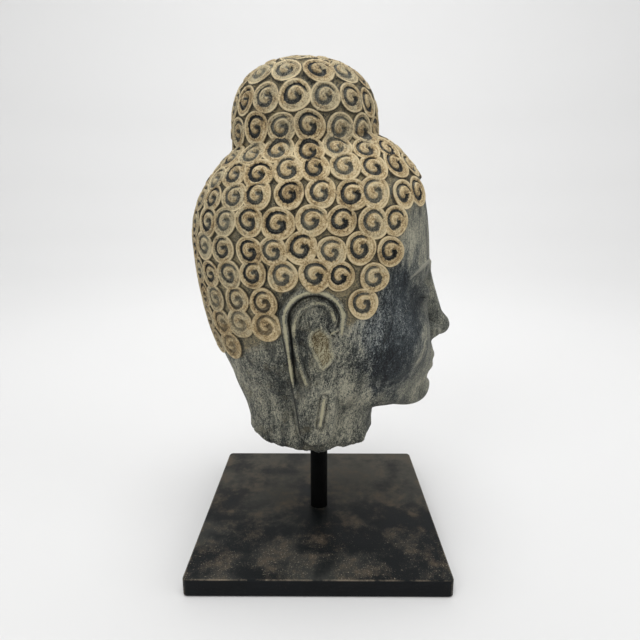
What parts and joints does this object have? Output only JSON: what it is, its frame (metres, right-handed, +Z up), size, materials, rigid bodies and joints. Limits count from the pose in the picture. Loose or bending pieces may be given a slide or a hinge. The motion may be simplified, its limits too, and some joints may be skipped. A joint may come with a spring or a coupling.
{
  "type": "carved stone head on a stand",
  "caption": "Carved stone head with snail-shell curls and a top knot, held above a square steel plate by a round steel rod.",
  "frame": {"origin": "middle of the base plate's underside", "axes": "+Z up along the rod, the face looks toward -Y, the head's left ear is toward +X"},
  "size_m": [0.17, 0.1817, 0.3329],
  "materials": {
    "stone": "matt carved grey stone with an ochre wash on the hair",
    "rod_steel": "matt black painted steel",
    "plate_steel": "black patinated steel with brown rust mottling and worn edges"
  },
  "bodies": {
    "root": {"stone_head": "stone", "stand_rod": "rod_steel", "base_plate": "plate_steel"}
  },
  "joints": []
}
